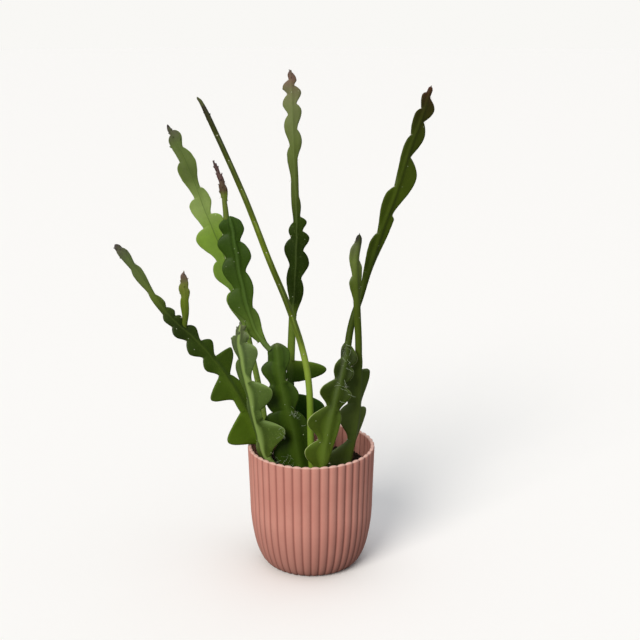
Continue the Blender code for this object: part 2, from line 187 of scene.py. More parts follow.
def makeStudio():
    scene = bpy.context.scene
    scene.view_settings.view_transform = "Standard"
    air = bpy.data.worlds.new("studioAir")
    air.use_nodes = True
    tree = air.node_tree
    light = tree.nodes["Background"]
    light.inputs["Color"].default_value = tone(*studio["airTone"])
    light.inputs["Strength"].default_value = studio["airStrength"]
    seen = addNode(tree, "ShaderNodeBackground", Color=tone(*studio["backdropTone"]))
    seen.inputs["Strength"].default_value = studio["backdropStrength"]
    ray = tree.nodes.new("ShaderNodeLightPath")
    both = addNode(tree, "ShaderNodeMixShader", i0=(ray, "Is Camera Ray"), i1=light, i2=seen)
    plug(tree, tree.nodes["World Output"].inputs["Surface"], both)
    scene.world = air
    for name, source, strength, disc, colour in studio["lights"]:
        lamp = bpy.data.lights.new(name, "SUN")
        lamp.energy = strength
        lamp.angle = math.radians(disc)
        lamp.color = tone(*colour)[:3]
        holder = bpy.data.objects.new(name, lamp)
        holder.rotation_euler = (-Vector(source)).to_track_quat("-Z", "Y").to_euler()
        scene.collection.objects.link(holder)
    ground = bmesh.new()
    bmesh.ops.create_circle(
        ground, cap_ends=True, segments=floorPlan["sides"], radius=floorPlan["radius"] * mm,
    )
    floor = addMesh(ground, "studioFloor", [floorPaper()])


def floorPaper():
    # pale to look at, but it throws less light back up, so that the shaded sides keep their depth
    made, tree, shader = plainSurface("floorPaper", floorPlan)
    ray = tree.nodes.new("ShaderNodeLightPath")
    bounce, seen = tone(*floorPlan["bounceTone"]), tone(*floorPlan["tone"])
    plug(tree, shader.inputs["Base Color"], mixed(tree, (ray, "Is Camera Ray"), bounce, seen))
    return made


# Finishing a piece

def addMesh(shape, name, surfaces):
    mesh = bpy.data.meshes.new(name)
    shape.to_mesh(mesh)
    shape.free()
    for surface in surfaces:
        mesh.materials.append(surface)
    made = bpy.data.objects.new(name, mesh)
    bpy.context.scene.collection.objects.link(made)
    return made


def settle(shape, name, surfaces, replaced=()):
    bmesh.ops.recalc_face_normals(shape, faces=shape.faces)
    piece = addMesh(shape, name, surfaces)
    piece.data.shade_smooth()
    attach(piece, "root")
    if replaced:
        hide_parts(*replaced)
    print(name, "made,", sum(len(face.vertices) - 2 for face in piece.data.polygons), "triangles")


def addBall(shape, size, at, turned, stretch, finer=0):
    # a small ball, stretched, turned and then moved to its place
    matrix = Matrix.Translation(at) @ turned @ Matrix.Diagonal((*stretch, 1))
    made = bmesh.ops.create_icosphere(shape, subdivisions=1 + finer, radius=size * mm, matrix=matrix)
    return made["verts"]


def paint(verts, index):
    for face in {face for vert in verts for face in vert.link_faces}:
        face.material_index = index


# The pot

potPlan = dict(
    rimRadius=36.0, height=70.0, wallFootRadius=35.0, roundHeight=38.0, footRadius=24.0, wall=2.3,
    flutes=44, fluteDepth=1.0, fluteArc=0.9, grooveRound=0.05, stepsPerFlute=16, wallSteps=10,
    roundSteps=26, flatShare=0.5, floorShare=0.6, rimRound=1.0, footRound=1.0,
    innerDip=0.5, rimDip=0.75, rimDipReach=1.6, rimHighlightBand=(0.35, 1.1),
    tone=(220, 155, 140), roughness=0.5, specular=0.3, shine=[(0.3, 0.45), (0.7, 0.58)],
    mottle=(38.0, 5.0, 0.6), mottleRamp=[(0.38, 0.0), (0.72, 0.55)], mottleTone=(202, 133, 120),
    # painted shade: the groove shade darkens the flutes' grooves
    grooveShadeRamp=[(0.3, 0.0), (0.92, 0.9)], grooveShadeTone=(150, 90, 82),
    # painted highlight: the rim highlight lightens a band along the top of the rim
    rimHighlightRamp=[(0.1, 0.0), (0.9, 0.75)], rimHighlightTone=(222, 183, 170),
    # painted shade: below the first height the wall is darkened towards the foot
    paintedShadeBelow=34.0, paintedShadeAtFoot=0.75, grain=(1600.0, 3.0), grainBump=(0.12, 0.00012),
)


def potOutline(inset=0.0):
    # outside from the rim down to the foot as (radius, height), moved in along its normal
    plan = potPlan
    points = []
    for step in range(plan["wallSteps"]):
        share = step / plan["wallSteps"]
        points.append((
            blend(plan["rimRadius"], plan["wallFootRadius"], share),
            blend(plan["height"], plan["roundHeight"], share),
        ))
    for step in range(plan["roundSteps"] + 1):
        angle = math.pi / 2 * step / plan["roundSteps"]
        points.append((
            blend(plan["footRadius"], plan["wallFootRadius"], math.cos(angle)),
            plan["roundHeight"] * (1 - math.sin(angle)),
        ))
    moved = []
    for i, (radius, height) in enumerate(points):
        before, after = points[max(i - 1, 0)], points[min(i + 1, len(points) - 1)]
        slope = math.atan2(before[1] - after[1], before[0] - after[0])
        moved.append((radius - inset * math.sin(slope), height + inset * math.cos(slope)))
    return moved


def outsideRadius(height):
    plan = potPlan
    if height > plan["roundHeight"]:
        share = (plan["height"] - height) / (plan["height"] - plan["roundHeight"])
        return blend(plan["rimRadius"], plan["wallFootRadius"], share)
    lift = math.sqrt(max(1 - (1 - height / plan["roundHeight"]) ** 2, 0))
    return blend(plan["footRadius"], plan["wallFootRadius"], lift)


def roundCorner(before, corner, after, size, steps=5):
    # points of a small arc that takes the place of a corner of the outline
    start = corner + (before - corner).normalized() * size
    end = corner + (after - corner).normalized() * size
    arc = []
    for step in range(steps + 1):
        share = step / steps
        arc.append(start * (1 - share) ** 2 + corner * 2 * share * (1 - share) + end * share**2)
    return arc


def spun(profile, steps):
    # a profile of (radius, height), turned once about Z
    shape = bmesh.new()
    verts = [shape.verts.new((radius * mm, 0, height * mm)) for radius, height in profile]
    edges = [shape.edges.new(pair) for pair in zip(verts, verts[1:])]
    bmesh.ops.spin(
        shape, geom=verts + edges, axis=(0, 0, 1), cent=(0, 0, 0), angle=math.tau, steps=steps,
        use_merge=True,
    )
    bmesh.ops.remove_doubles(shape, verts=shape.verts, dist=slack * mm)
    return shape


def grooveShare(turn):
    # 0 on a flute's crest and 1 in the groove beside it, along a round arc
    across = abs((turn * potPlan["flutes"] / math.tau) % 1 - 0.5) * 2
    across = 1 - math.hypot(1 - across, potPlan["grooveRound"])
    deepest = 1 - math.sqrt(1 - potPlan["fluteArc"] ** 2)
    return (1 - math.sqrt(1 - (potPlan["fluteArc"] * across) ** 2)) / deepest


def makePot():
    plan = potPlan
    outer = [Vector(point) for point in potOutline()]
    inner = [Vector(point) for point in potOutline(plan["wall"])]
    rimOut = Vector((plan["rimRadius"], plan["height"]))
    rimIn = Vector((inner[0].x, plan["height"]))
    flatRadius = plan["footRadius"] * plan["flatShare"]
    profile = [
        Vector((0, plan["wall"])), Vector((inner[-1].x * plan["floorShare"], plan["wall"])),
        *inner[:0:-1],
        *roundCorner(inner[1], rimIn, rimOut, plan["rimRound"]),
        *roundCorner(rimIn, rimOut, outer[1], plan["rimRound"]),
        *outer[1:-1],
        *roundCorner(outer[-3], outer[-1], Vector((0, 0)), plan["footRound"]),
        Vector((flatRadius, 0)), Vector((0, 0)),
    ]
    shape = spun(profile, plan["flutes"] * plan["stepsPerFlute"])
    # how deep in a groove each point lies, read to paint shade in the grooves
    grooveLayer = shape.verts.layers.float.new("grooveShade")
    # how near the top of the rim each point lies, read to paint a highlight there
    rimLayer = shape.verts.layers.float.new("rimHighlight")
    bandStart, bandEnd = plan["rimHighlightBand"]
    for vert in shape.verts:
        radius, height = math.hypot(vert.co.x, vert.co.y) / mm, vert.co.z / mm
        if radius <= flatRadius + slack:
            continue
        share = grooveShare(math.atan2(vert.co.y, vert.co.x))
        vert[grooveLayer] = share
        below = plan["height"] - height
        vert[rimLayer] = 1 - easeIn((below - bandStart) / (bandEnd - bandStart))
        # the wall grows thinner in a groove and the rim dips there, so that its edge looks beaded
        nearRim = easeIn((height - plan["height"] + plan["rimDipReach"]) / plan["rimDipReach"])
        inward = (outsideRadius(height) - radius) / plan["wall"]
        kept = 1 - blend(plan["fluteDepth"], -plan["innerDip"], inward) * share / plan["rimRadius"]
        vert.co.x *= kept
        vert.co.y *= kept
        vert.co.z -= plan["rimDip"] * share * nearRim * mm
    settle(shape, "flutedPot", [potSurface()], ["pot"])


def potSurface():
    plan = potPlan
    made, tree, shader = plainSurface("mattPinkPlastic", plan)
    cloud = clouds(tree, *plan["mottle"])
    coloured = tone(*plan["tone"])
    # the mottle is the plastic's own uneven tone, the groove shade is painted shade and the rim highlight
    # is a painted highlight
    for part, where in (("mottle", cloud), ("grooveShade", layer(tree, "grooveShade")), ("rimHighlight", layer(tree, "rimHighlight"))):
        share = ramp(tree, where, plan[part + "Ramp"])
        coloured = mixed(tree, share, coloured, tone(*plan[part + "Tone"]))
    # inputs 2 and 3 are the height up to which shade is painted on the wall, and how dark that painted
    # shade is at the foot
    height = (addNode(tree, "ShaderNodeSeparateXYZ", Vector=placeOn(tree)), "Z")
    low = addNode(tree, "ShaderNodeMapRange", i0=height, i2=plan["paintedShadeBelow"] * mm, i3=plan["paintedShadeAtFoot"])
    plug(tree, shader.inputs["Base Color"], mixed(tree, 1.0, coloured, (low, 0), "MULTIPLY"))
    plug(tree, shader.inputs["Roughness"], ramp(tree, cloud, plan["shine"]))
    roughen(tree, shader, (clouds(tree, *plan["grain"]), *plan["grainBump"]))
    return made


# The soil

soilPlan = dict(
    level=57.0, settled=0.6, wallGap=0.25, edgeGap=0.4, topDepth=4.0, steps=180, topRings=46, bump=1.1,
    # width and height of the swells, of the lumps and of the grit in its skin
    relief=[(7.5, 1.2), (2.3, 1.3), (0.9, 0.25)],
    tone=(26, 21, 15), paleTone=(50, 38, 28), patches=[(0.35, 0.0), (0.75, 1.0)],
    roughness=0.95, specular=0.12, crumbScale=900.0, grit=(420.0, 8.0, 0.7), gritBump=(0.7, 0.0005), seed=4,
)


def soilHeight(x, y):
    # height of the soil's skin over a point of its disc
    plan = soilPlan
    spot = Vector((x, y, 0))
    swells, lumps, grit = [noise.noise(spot / width) * height for width, height in plan["relief"]]
    return plan["level"] - plan["settled"] + (swells + abs(lumps) + grit) * plan["bump"]


def makeSoil():
    plan = soilPlan
    inset = potPlan["wall"] + potPlan["fluteDepth"] + plan["wallGap"]
    below = [point for point in potOutline(inset) if point[1] < plan["level"] - plan["topDepth"]]
    topRadius = potPlan["rimRadius"] - inset - plan["edgeGap"]
    top = [(topRadius * step / plan["topRings"], plan["level"]) for step in range(plan["topRings"] + 1)]
    shape = spun([*top, *below, (0, below[-1][1])], plan["steps"])
    for vert in shape.verts:
        if abs(vert.co.z / mm - plan["level"]) < slack:
            vert.co.z = soilHeight(vert.co.x / mm, vert.co.y / mm) * mm
    settle(shape, "soilBed", [soilSurface("dampSoil", plan["tone"])], ["soil"])
    return topRadius


def soilSurface(name, dark):
    plan = soilPlan
    made, tree, shader = plainSurface(name, plan, dark)
    crumb = (cells(tree, plan["crumbScale"]), "Distance")
    grit = clouds(tree, *plan["grit"])
    patch = ramp(tree, grit, plan["patches"])
    plug(tree, shader.inputs["Base Color"], mixed(tree, patch, tone(*dark), tone(*plan["paleTone"])))
    roughen(tree, shader, (times(tree, crumb, grit), *plan["gritBump"]))
    return made


crumbPlan = dict(
    count=620, size=(0.45, 1.7), mostlySmall=2.2, stretch=[(0.7, 1.5), (0.6, 1.1), (0.5, 0.9)],
    rough=0.16, lift=0.15, barkShare=0.3, barkTone=(44, 28, 18),
)


def makeCrumbs(topRadius, stemFeet):
    plan = crumbPlan
    draw = random.Random(soilPlan["seed"])
    shape = bmesh.new()
    left = plan["count"]
    while left:
        turn, share = draw.uniform(0, math.tau), math.sqrt(draw.random())
        size = blend(*plan["size"], draw.random() ** plan["mostlySmall"])
        reach = (topRadius - size) * share
        x, y = reach * math.cos(turn), reach * math.sin(turn)
        spin = Matrix.Rotation(draw.uniform(0, math.tau), 4, anyWay(draw, 1))
        stretch = [draw.uniform(*ends) for ends in plan["stretch"]]
        isBark = draw.random() < plan["barkShare"]
        if any(math.hypot(x - foot.x, y - foot.y) < wide + size for foot, wide in stemFeet):
            continue
        left -= 1
        at = Vector((x, y, soilHeight(x, y) + size * plan["lift"])) * mm
        crumb = addBall(shape, size, at, spin, stretch)
        for vert in crumb:
            vert.co += anyWay(draw, plan["rough"], size * mm)
        paint(crumb, int(isBark))
    surfaces = [soilSurface("soilCrumb", soilPlan["tone"]), soilSurface("barkBit", plan["barkTone"])]
    settle(shape, "soilCrumbs", surfaces)


# Root hairs and webs

fibrePlan = dict(
    # two hairs of three lie in a tuft at the front left, given by its centre and spread in x and in y
    hairs=70, loneEvery=3, tuft=((-11, 4), (-19, 3)), loneReach=22, soilReach=29, knots=7, arch=2.2,
    lift=0.1, rise=(0.1, 0.9), bend=0.6, stride=(0.9, 1.6), hairRadius=(0.05, 0.1),
    webKnots=4, webWander=0.5, webStride=(0.6, 1.2), webLift=(0.1, 0.35), webRadius=(0.035, 0.08),
    tone=(178, 192, 164), roughness=0.8, specular=0.5,
)


def thread(shape, points, radius, sides=4, taper=0.5):
    # a thin tube through these points: a small ring, extruded along them and drawn to a point
    points = [Vector(point) * mm for point in points]
    ahead = (points[1] - points[0]).to_track_quat("Z", "Y").to_matrix().to_4x4()
    ring = bmesh.ops.create_circle(
        shape, cap_ends=True, segments=sides, radius=radius * mm,
        matrix=Matrix.Translation(points[0]) @ ahead,
    )["verts"]
    face = ring[0].link_faces[0]
    keep = 1 - taper / (len(points) - 1)
    for start, end in zip(points, points[1:]):
        grown = bmesh.ops.extrude_face_region(shape, geom=[face])["geom"]
        bmesh.ops.delete(shape, geom=[face], context="FACES")
        verts = [item for item in grown if isinstance(item, bmesh.types.BMVert)]
        face = next(item for item in grown if isinstance(item, bmesh.types.BMFace))
        for vert in verts:
            vert.co = end + (vert.co - start) * keep


def layHairs(shape, draw):
    # dry root hairs that lie across the soil
    plan = fibrePlan
    for i in range(plan["hairs"]):
        if i % plan["loneEvery"]:
            x, y = [draw.gauss(*spread) for spread in plan["tuft"]]
        else:
            x, y = [draw.uniform(-plan["loneReach"], plan["loneReach"]) for _ in range(2)]
        heading = draw.uniform(0, math.tau)
        height = draw.uniform(*plan["rise"])
        points = []
        for step in range(plan["knots"]):
            if math.hypot(x, y) > plan["soilReach"]:
                break
            lift = height * math.sin(math.pi * step / (plan["knots"] - 1)) * plan["arch"]
            points.append((x, y, soilHeight(x, y) + plan["lift"] + lift))
            heading += draw.uniform(-plan["bend"], plan["bend"])
            x += math.cos(heading) * draw.uniform(*plan["stride"])
            y += math.sin(heading) * draw.uniform(*plan["stride"])
        if len(points) > 3:
            thread(shape, points, draw.uniform(*plan["hairRadius"]))


def spinWeb(shape, draw, shoot, web):
    # fine threads that start on the front of a stem's skin and stay close to it
    plan = fibrePlan
    first, last, leftmost, rightmost, threads, length = web
    for _ in range(threads):
        along = draw.uniform(first, last) + shoot["soilAt"]
        column = round(draw.uniform(leftmost, rightmost) * stemPlan["columns"] / 2)
        forward = bladeFrame(shoot, along)[2]
        points = [skinRing(shoot, along)[column][0] / mm]
        heading = anyWay(draw, 1)
        for _ in range(plan["webKnots"]):
            heading += anyWay(draw, 1) * plan["webWander"]
            heading = (heading - forward * heading.dot(forward)).normalized()
            lift = forward * draw.uniform(*plan["webLift"])
            stride = heading * length / plan["webKnots"] * draw.uniform(*plan["webStride"])
            points.append(points[-1] + stride + lift)
        thread(shape, points, draw.uniform(*plan["webRadius"]))


def makeFibres(everyShoot):
    draw = random.Random(soilPlan["seed"] + 1)
    shape = bmesh.new()
    layHairs(shape, draw)
    for shoot in everyShoot:
        for web in shoot.get("webs", []):
            spinWeb(shape, draw, shoot, web)
    settle(shape, "soilFibres", [plainSurface("dryFibre", fibrePlan)[0]])


# The stems
#
# A stem is a list of shoots, the first rooted in the soil and the others grown from it. A shoot's path
# is its centre line, root to tip. A rooted path starts in the soil, its second point is at the soil's
# level, and distances along it count from there; on the others they count from the path's start. core
# is the midrib's radius, root and tip. turn swings the blade about its centre line, and fold bends its
# left and right half forward. left and right are the blade's edges, as (distance along, reach), where
# notches and lobe tips take turns; a lobe tip may carry how hollow its rootward side is and how full
# its tipward side is. cup leans the left and the right lobes' tips forward. tones are skin colours at
# distances along the shoot, ridge tints the midrib, and margin tints the blade's edge, partly in the
# edge's own colour and, where it is pale, as a painted highlight. scales, where given, are the first
# and last place of the young tip's small scales, their number and their half length. The crease shade
# is painted shade that darkens the skin beside the midrib, the top sheen is a painted highlight on the
# side of the lobes that faces up, and wave is how much the blade ripples. webs are tangles of threads:
# first and last place along, how far across the front from its left edge to its right one, number of
# threads and their length.

stemPlan = dict(
    edgeHalf=0.62, pathSteps=14, lobeShape=(1.8, 0.75), columns=56, columnSpread=1.45, seedStep=7.1,
    ringStep=0.7, leastStretch=0.05, finePlaces=40, riseShare=0.8,
    tipRound=4.0, tipLeft=0.12, tipTaper=12.0, tipCore=0.62, leastReach=1.05, wingGrown=1.2,
    slopeStep=0.15, steepest=4, edgeRound=0.95, roundMost=0.7, upwardReach=1.6,
    ridgeWidth=0.85, pillow=0.34, pillowReach=8, cupReach=9, cupMost=1.3, foldAt=1.6, foldGrown=2,
    # ripples of the edge and of the blade: size, length and where each side's ripple is read
    rippleFrom=(1.2, 1.5), wobble=0.13, wobbleLength=2.6, wobbleRow=(0.0, 9.0),
    wave=0.5, waveLength=11, waveRow=(3.3, 8.3),
)


def smoothPath(points):
    # points of a smooth curve through these ones, and how far along it each lies
    points = [Vector(point) for point in points]
    ends = [points[0] * 2 - points[1], *points, points[-1] * 2 - points[-2]]
    samples = []
    for before, start, end, after in zip(ends, ends[1:], ends[2:], ends[3:]):
        for step in range(stemPlan["pathSteps"]):
            t = step / stemPlan["pathSteps"]
            linear = (end - before) * t
            square = (before * 2 - start * 5 + end * 4 - after) * t**2
            cube = (start * 3 - end * 3 + after - before) * t**3
            samples.append((start * 2 + linear + square + cube) * 0.5)
    samples.append(points[-1])
    lengths = [0.0]
    for first, second in zip(samples, samples[1:]):
        lengths.append(lengths[-1] + (second - first).length)
    return samples, lengths


def stretchAt(lengths, along):
    # the stretch of these running lengths that holds this distance, and the share of it passed
    i = min(max(sum(length < along for length in lengths) - 1, 0), len(lengths) - 2)
    return i, (along - lengths[i]) / (lengths[i + 1] - lengths[i])


def pointAt(path, along):
    samples, lengths = path
    i, share = stretchAt(lengths, min(max(along, 0), lengths[-1]))
    return samples[i].lerp(samples[i + 1], share)


def directionAt(path, along, step=1.5):
    low = min(max(along - step, 0), path[1][-1] - 2 * step)
    return (pointAt(path, low + 2 * step) - pointAt(path, low)).normalized()


def lobeAt(edge, along):
    # the blade's reach here, how far up its lobe this place is (0 at a notch, 1 at the lobe's tip) and
    # how far it lies on the lobe's tipward side, which faces up
    for i, (start, end) in enumerate(zip(edge, edge[1:])):
        if start[0] <= along <= end[0]:
            share = (along - start[0]) / (end[0] - start[0])
            notch, tip = (start, end) if i % 2 == 0 else (end, start)
            rise = tip[1] - notch[1]
            hollow, full = tip[2:]
            upward = 0.0
            if i % 2 == 0:
                height = math.sin(math.pi / 2 * share) ** hollow
            else:
                height = max(math.cos(math.pi / 2 * share), 0) ** full
                upward = easeIn(share * stemPlan["upwardReach"]) * rise / tip[1]
            return notch[1] + rise * height, height, upward
    return 0.0, 0.0, 0.0


def readShoot(table, rooted):
    # the table with its path measured and its edges counted from the path's start
    path = smoothPath(table["path"])
    soilAt = path[1][stemPlan["pathSteps"]] if rooted else 0.0
    shape = table.get("lobeShape", stemPlan["lobeShape"])
    edges = [
        [(along + soilAt, reach, *(own or shape)) for along, reach, *own in table[side]]
        for side in ("left", "right")
    ]
    fold = table.get("fold", (0, 0))
    return dict(table, path=path, length=path[1][-1], soilAt=soilAt, edges=edges, fold=fold)


def closing(shoot, along):
    # the share of its width that the stem keeps in its round end
    left = min((shoot["length"] - along) / stemPlan["tipRound"], 1)
    return stemPlan["tipLeft"] + (1 - stemPlan["tipLeft"]) * math.sqrt(max(1 - (1 - left) ** 2, 0))


def bladeFrame(shoot, along):
    # the centre line's point here, the way to the blade's left and the way forward
    tangent = directionAt(shoot["path"], along)
    left = tangent.cross(Vector((0, 1, 0))).normalized()
    forward = tangent.cross(left)
    turn = math.radians(blend(*shoot["turn"], along / shoot["length"]))
    swung = left * math.cos(turn) + forward * math.sin(turn)
    return pointAt(shoot["path"], along), swung, tangent.cross(swung)


def ringPlaces(shoot):
    # distances of the rings, closer where the outline runs across the stem
    plan = stemPlan
    marks = {0.0, shoot["length"], shoot["length"] - plan["tipRound"]}
    for edge in shoot["edges"]:
        marks |= {mark[0] for mark in edge if 0 < mark[0] < shoot["length"]}
    marks = sorted(marks)
    places = [0.0]
    for low, high in zip(marks, marks[1:]):
        if high - low < plan["leastStretch"]:
            continue
        fine = [low + (high - low) * step / plan["finePlaces"] for step in range(plan["finePlaces"] + 1)]
        run = [0.0]
        for first, second in zip(fine, fine[1:]):
            rise = max(abs(lobeAt(edge, second)[0] - lobeAt(edge, first)[0]) for edge in shoot["edges"])
            run.append(run[-1] + math.hypot(second - first, rise * plan["riseShare"]))
        count = max(1, math.ceil(run[-1] / plan["ringStep"]))
        for step in range(1, count + 1):
            i, share = stretchAt(run, run[-1] * step / count)
            places.append(fine[i] + (fine[i + 1] - fine[i]) * min(share, 1))
    return places


def readWing(shoot, side, along, core, keep):
    # one half of the blade here: its reach, place on its lobe, share of a full blade, edge and cup
    plan = stemPlan
    edge = shoot["edges"][side]
    step = plan["slopeStep"]
    reach, height, upward = lobeAt(edge, along)
    slope = (lobeAt(edge, along + step)[0] - lobeAt(edge, along - step)[0]) / (2 * step)
    rippleStart, rippleRange = plan["rippleFrom"]
    grown = easeIn((reach / core - rippleStart) / rippleRange)

    def ripple(kind):
        spot = Vector((along / plan[kind + "Length"], plan[kind + "Row"][side], shoot["seed"]))
        return shoot.get(kind, plan[kind]) * grown * noise.noise(spot)

    reach = max(reach * keep, core * plan["leastReach"]) + ripple("wobble")
    share = easeIn((reach / core - 1) / plan["wingGrown"])
    steep = math.hypot(1, min(abs(slope), plan["steepest"]))
    rounding = min(plan["edgeRound"] * steep, reach * plan["roundMost"])
    cup = shoot["cup"][side] * height * min(reach / plan["cupReach"], plan["cupMost"]) + ripple("wave")
    return reach, height, share, rounding, cup, upward


def skinRing(shoot, along):
    # one closed section: for each column its place, how far out it is and how far up its lobe
    plan = stemPlan
    keep = closing(shoot, along)
    core = blend(*shoot["core"], along / shoot["length"]) * keep
    core *= blend(plan["tipCore"], 1, (shoot["length"] - along) / plan["tipTaper"])
    centre, leftward, forward = bladeFrame(shoot, along)
    wings = [readWing(shoot, side, along, core, keep) for side in (0, 1)]
    middle = math.radians(shoot["fold"][0] - shoot["fold"][1]) / 2
    points = []
    for column in range(plan["columns"]):
        quarters = 4 * column / plan["columns"]
        side = 0 if quarters < 1 or quarters >= 3 else 1
        face = 1 if quarters < 2 else -1
        sign = 1 if side == 0 else -1
        reach, height, share, rounding, cup, upward = wings[side]
        angle = math.pi / 2 * abs(quarters % 2 - 1) ** plan["columnSpread"]
        distance = reach * math.sin(angle)
        stalk = core * math.cos(angle)
        edge = plan["edgeHalf"] * keep
        ridge = (core - edge) * math.exp(-((distance / (plan["ridgeWidth"] * core)) ** 2))
        swell = plan["pillow"] * height * math.sin(math.pi * min(distance / reach, 1))
        swell *= min(reach / plan["pillowReach"], 1)
        edgeIn = min((reach - distance) / rounding, 1)
        blade = edge + max(ridge, 0) + swell
        blade *= math.sqrt(max(1 - (1 - edgeIn) ** 2, 0))
        up = face * blend(stalk, blade, share) + cup * share * (distance / reach) ** 2
        bend = easeIn(distance / (plan["foldAt"] * core)) * easeIn(plan["foldGrown"] * share)
        turn = middle * sign + (math.radians(shoot["fold"][side]) - middle * sign) * bend
        across = distance * math.cos(turn) - up * math.sin(turn)
        lift = distance * math.sin(turn) + up * math.cos(turn)
        place = (centre + leftward * across * sign + forward * lift) * mm
        points.append((place, distance / reach * share, upward * (distance / reach) ** 2))
    return points


stemFarLeft = dict(node="stem_far_left", seed=1, shoots=[
    dict(
        path=[(-25, 3, 39), (-26, 3, 57), (-29, 1, 71), (-36, 0, 87), (-47, -4, 110), (-61, -8, 131),
            (-78, -10, 149), (-97, -10, 178), (-104.4, -9, 187)],
        core=(2.3, 1.2), cup=(2.0, 1.4),
        tones=[(0, (80, 106, 22)), (28, (90, 118, 26)), (58, (78, 104, 26)), (74, (62, 84, 20)),
            (98, (40, 56, 12)), (108, (60, 78, 28)), (118, (98, 116, 44)), (132, (100, 116, 60)),
            (144, (98, 114, 66)), (150, (92, 96, 70)), (154, (72, 62, 60))],
        scales=(147, 153, 6, 0.6), ridge=((104, 122, 50), 0.2, 0.12), margin=((70, 66, 40), 0.35),
        turn=(35, 20), fold=(0, -18),
        left=[(13, 2.4), (26.5, 18.4, 1.4, 1.1), (36, 2.8), (40, 3.1), (44, 2.9), (55, 14.6, 1.6, 1.2),
            (62, 2.6), (71, 7), (76, 3.6), (84, 8), (90, 3.6), (97, 6), (101, 3), (106, 3.8), (109, 2),
            (118, 2.2), (123, 1.5), (134.5, 2.9, 1.6, 0.8), (138.5, 1.9), (148.5, 2.7, 1.2, 0.7),
            (151.5, 1.9), (152.5, 2), (155, 1.3)],
        right=[(8, 2.4), (22, 8), (27, 4), (42, 8), (58, 3.6), (69, 13.4, 1.1, 1.3), (72, 3), (80, 7),
            (84, 2.4), (91.7, 5.8), (96, 2.4), (102, 5), (104, 3), (106.8, 4.6, 1.2, 0.6), (111, 2.2),
            (114.3, 3.4, 1.2, 0.6), (120, 1.5), (135.5, 3.2, 1.5, 0.7), (140, 1.8),
            (147.5, 2.9, 1.2, 0.8), (151, 1.8), (152.5, 1.9), (155, 1.3)],
    ),
    dict(
        path=[(-69, -8, 138), (-68, -9, 153), (-68, -9, 162), (-68, -10, 173)],
        core=(1.4, 0.8), cup=(0.2, 0.2),
        tones=[(0, (76, 96, 20)), (18, (108, 128, 34)), (27, (122, 132, 58)), (31, (116, 100, 82)),
            (34, (120, 100, 94))],
        scales=(22, 33, 9, 0.75), ridge=((112, 124, 50), 0.2, 0.2), margin=((110, 96, 70), 0.4),
        turn=(0, 0),
        left=[(8, 1.5), (17, 2.6), (20, 2), (25, 3.2), (28, 2), (31, 2), (34, 0.8)],
        right=[(4, 1.5), (12, 2.2), (18, 1.9), (23, 2.9), (25, 2), (28, 2.2), (33, 0.8)],
    ),
])

stemPaleBack = dict(node="stem_pale_back", seed=2, shoots=[
    dict(
        path=[(-23, 11, 39), (-25, 12, 57), (-28.2, 13, 89), (-33.6, 16, 117), (-40, 18, 148),
            (-49, 21, 175), (-59, 25, 199), (-69, 30, 225), (-80, 35, 246)],
        core=(1.85, 1.1), cup=(-1.2, -1.0), lobeShape=(1.8, 0.5),
        # from 26 to 60 along the bare stalk is lifted to a bright lime: painted light that stands in for
        # light shining through it in the shade of the stems in front
        tones=[(0, (170, 192, 90)), (26, (214, 252, 112)), (60, (214, 252, 116)), (70, (152, 184, 84)),
            (84, (94, 118, 52)), (104, (112, 144, 54)), (134, (128, 162, 58)), (150, (150, 174, 96)),
            (168, (96, 114, 52)), (188, (102, 120, 62)), (195, (90, 92, 68)), (200, (76, 62, 66))],
        scales=(188, 199, 9, 0.8), ridge=((62, 84, 28), 0.6, 0.055), margin=((156, 184, 80), 0.3, 0.85),
        turn=(0, 0),
        left=[(78, 2), (95, 7.5), (100, 3.6), (112, 9.5), (119, 5.2), (134, 11.8), (139, 5), (152, 8),
            (156, 3.4), (173, 7), (178, 3.6), (190, 4.3), (194, 1.3), (197, 1.6), (200, 0.8)],
        right=[(72, 2), (87, 6), (92, 3.5), (104, 8), (109, 5), (124, 9), (129, 5.5), (141, 7.6),
            (145, 2.4), (153, 5.2), (161, 2), (176, 5, 3, 0.75), (185, 1.9), (192, 4.2), (196, 1),
            (200, 0.8)],
    ),
])

stemFrontLeft = dict(node="stem_front_left", seed=3, shoots=[
    dict(
        path=[(-17, -15, 39), (-18, -15, 57), (-24, -17, 68), (-28, -17, 81), (-34, -15, 110),
            (-38.4, -11, 131.5), (-38.2, -9, 142.8)],
        core=(2.2, 1.8), cup=(-2.0, 5.0),
        tones=[(0, (92, 114, 38)), (28, (76, 98, 34)), (60, (90, 114, 52)), (78, (94, 114, 64)),
            (91, (100, 108, 74))],
        scales=(81, 90, 8, 1.0), ridge=((150, 176, 96), 0.7, 0.17), creaseShade=0.2,
        topSheen=((130, 154, 88), 0.42), webs=[(2, 11, 0.6, 1, 8, 4), (24, 31, 0.85, 1, 8, 2.4)],
        margin=((158, 174, 116), 0.5), turn=(-12, -8), fold=(-40, -15),
        left=[(0, 7), (11, 12.6, 0.9, 0.7), (23.5, 3), (40, 8), (48, 4), (65, 12), (71, 4),
            (79, 10.6, 1.5, 0.5), (83.5, 3.4), (86, 4.4, 1, 0.5), (87.5, 2.4), (89, 3), (91, 1.2)],
        right=[(14, 3.4), (28.3, 14.4, 1.6, 0.9), (35, 3.5), (37, 3.8), (41, 3.6), (51.5, 12, 0.85, 1),
            (58, 2.4), (74, 8.8, 2.4, 0.6), (79.5, 3.4), (83.5, 5, 1, 0.6), (86.5, 2.6), (89, 3.6),
            (91, 1.2)],
    ),
])

